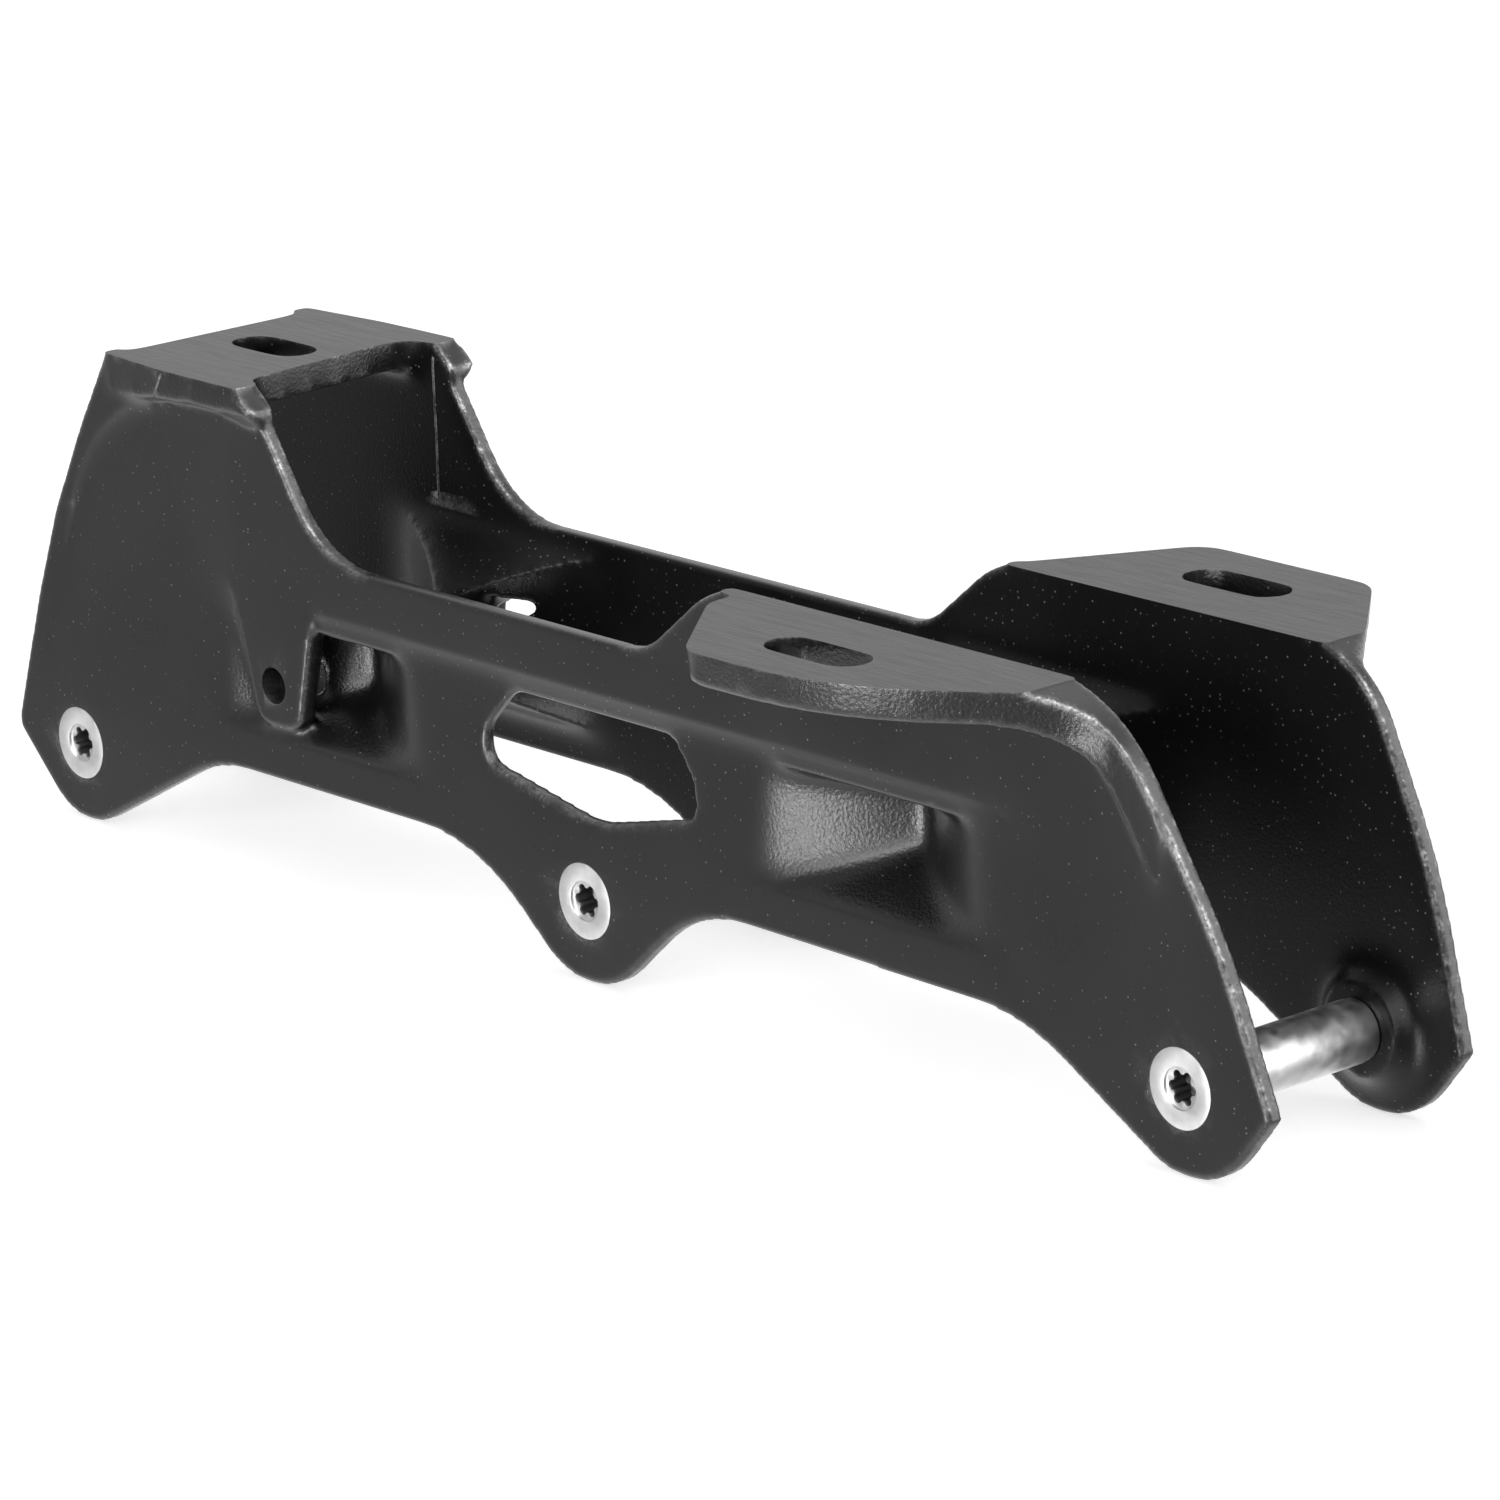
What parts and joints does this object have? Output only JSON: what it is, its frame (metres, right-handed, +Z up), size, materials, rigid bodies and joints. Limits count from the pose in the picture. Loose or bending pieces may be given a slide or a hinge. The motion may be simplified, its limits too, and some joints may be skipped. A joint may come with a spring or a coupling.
{
  "type": "inline skate frame",
  "caption": "Cast inline skate frame for the right foot: twin walls with scooped pockets, heel tower, staggered toe flanges and screw-in wheel axles.",
  "frame": {"origin": "middle of the footprint, on the level of the bottoms of the axle lobes", "axes": "+X to the toe, +Y to the inner side of the foot, +Z up to the boot"},
  "size_m": [0.243, 0.0754, 0.0675],
  "materials": {
    "casting": "matte black coated casting with a fine grain, mounting faces machined",
    "axle": "turned and polished"
  },
  "bodies": {
    "frame": {"frame": "casting"},
    "front_axle": {"axle_front": "axle"},
    "middle_axle": {"axle_middle": "axle"},
    "rear_axle": {"axle_rear": "axle"}
  },
  "joints": [
    {"name": "front_axle_draw", "type": "slide", "parent": "frame", "child": "front_axle", "axis": [0, -1, 0], "range_m": [0, 0.036]},
    {"name": "middle_axle_draw", "type": "slide", "parent": "frame", "child": "middle_axle", "axis": [0, -1, 0], "range_m": [0, 0.036]},
    {"name": "rear_axle_draw", "type": "slide", "parent": "frame", "child": "rear_axle", "axis": [0, -1, 0], "range_m": [0, 0.036]}
  ]
}
